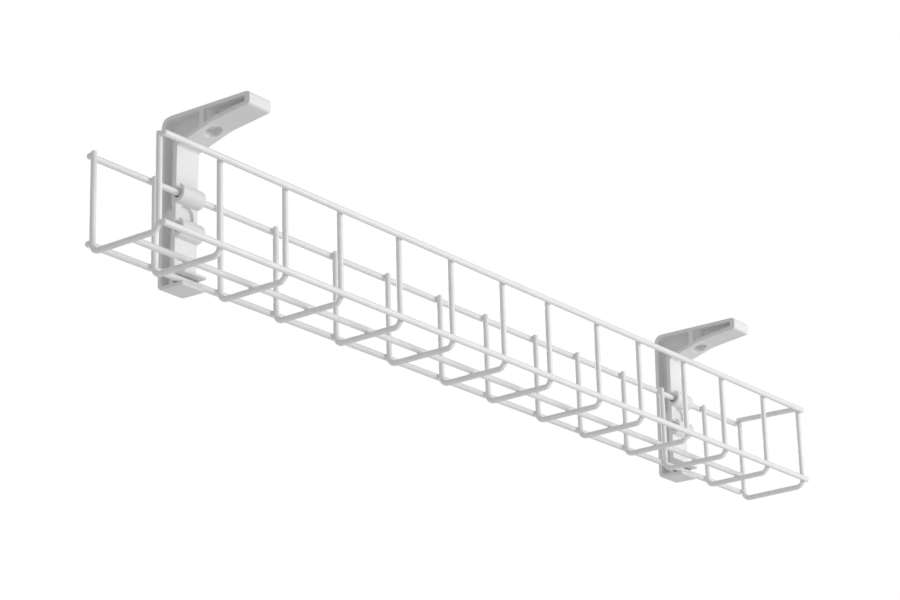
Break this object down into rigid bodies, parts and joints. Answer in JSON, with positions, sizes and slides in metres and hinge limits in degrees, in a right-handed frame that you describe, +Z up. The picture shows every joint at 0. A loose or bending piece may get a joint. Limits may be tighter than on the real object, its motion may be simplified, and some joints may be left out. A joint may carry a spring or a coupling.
{
  "type": "under-desk cable tray",
  "caption": "Welded wire basket for cables that hangs by its back rail in two moulded L brackets screwed under a desk.",
  "frame": {"origin": "on the underside of the desk, midway between the two bracket screws", "axes": "+X along the tray, +Y towards the back where the basket hangs, +Z up to the desk"},
  "size_m": [0.6924, 0.0751, 0.1114],
  "materials": {
    "wire": "white powder coat, satin",
    "bracket": "white moulded plastic, fine matt"
  },
  "bodies": {
    "brackets": {"left_bracket": "bracket", "right_bracket": "bracket"},
    "basket": {"frame_wire_01": "wire", "frame_wire_02": "wire", "frame_wire_03": "wire", "frame_wire_04": "wire", "frame_wire_05": "wire", "frame_wire_06": "wire", "frame_wire_07": "wire", "frame_wire_08": "wire", "frame_wire_09": "wire", "frame_wire_10": "wire", "frame_wire_11": "wire", "frame_wire_12": "wire", "frame_wire_13": "wire", "frame_wire_14": "wire", "front_top_rail": "wire", "front_low_rail": "wire", "back_top_rail": "wire", "back_low_rail": "wire", "floor_rail": "wire", "end_crossbar": "wire"}
  },
  "joints": [
    {"name": "basket_swing", "type": "hinge", "parent": "brackets", "child": "basket", "pos_m": [0, 0.0193, -0.0504], "axis": [-1, 0, 0], "range_deg": [0, 36]}
  ]
}
